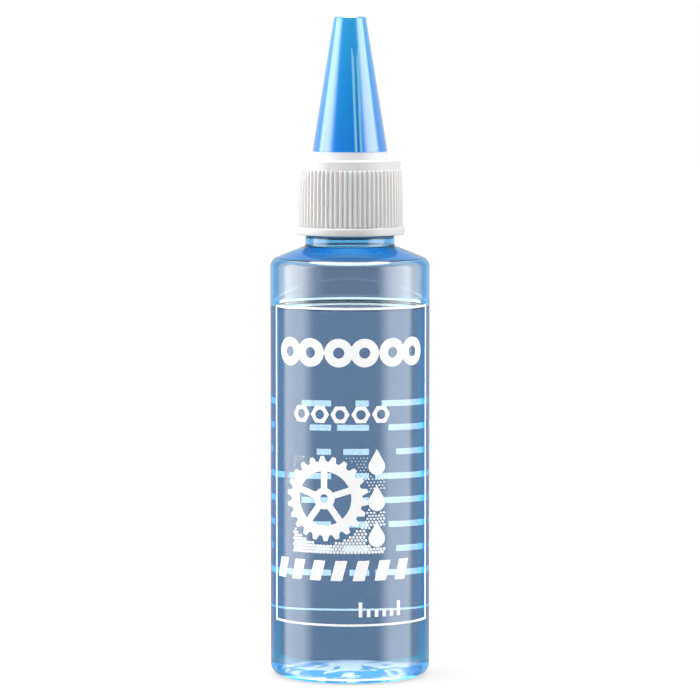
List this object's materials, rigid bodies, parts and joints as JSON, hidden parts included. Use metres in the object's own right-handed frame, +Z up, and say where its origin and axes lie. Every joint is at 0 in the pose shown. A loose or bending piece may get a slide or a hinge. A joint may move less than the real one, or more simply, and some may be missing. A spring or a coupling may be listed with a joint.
{
  "type": "chain lube bottle",
  "caption": "Small clear round squeeze bottle of blue lube with a ribbed white screw cap, a conical spout under a blue pull-off tip cap, and a white screen print.",
  "frame": {"origin": "on the table at the middle of the bottle's base", "axes": "+Z up along the bottle's axis, the front of the print faces -Y, +X to the right of it"},
  "size_m": [0.033, 0.0332, 0.1364],
  "materials": {
    "clear_pet": "clear gloss",
    "lube": "clear liquid",
    "white_ink": "screen print",
    "white_cap": "satin",
    "liner_foam": "soft",
    "blue_cap": "gloss"
  },
  "bodies": {
    "bottle": {"bottle": "clear_pet", "lube_fill": "lube", "front_print": "white_ink", "back_print": "white_ink"},
    "liner": {"sealing_liner": "liner_foam"},
    "nozzle_cap": {"nozzle_cap": "white_cap"},
    "tip_cap": {"tip_cap": "blue_cap"}
  },
  "joints": [
    {"name": "cap_lift", "type": "slide", "parent": "bottle", "child": "liner", "axis": [0, 0, 1], "range_m": [0, 0.00716]},
    {"name": "cap_twist", "type": "hinge", "parent": "liner", "child": "nozzle_cap", "pos_m": [0, 0, 0.0916], "axis": [0, 0, 1], "range_deg": [0, 810]},
    {"name": "tip_pull", "type": "slide", "parent": "nozzle_cap", "child": "tip_cap", "axis": [0, 0, 1], "range_m": [0, 0.032]}
  ],
  "couplings": [
    {"joint": "cap_lift", "follows": "cap_twist", "m_per_rad": 0.00050611}
  ]
}
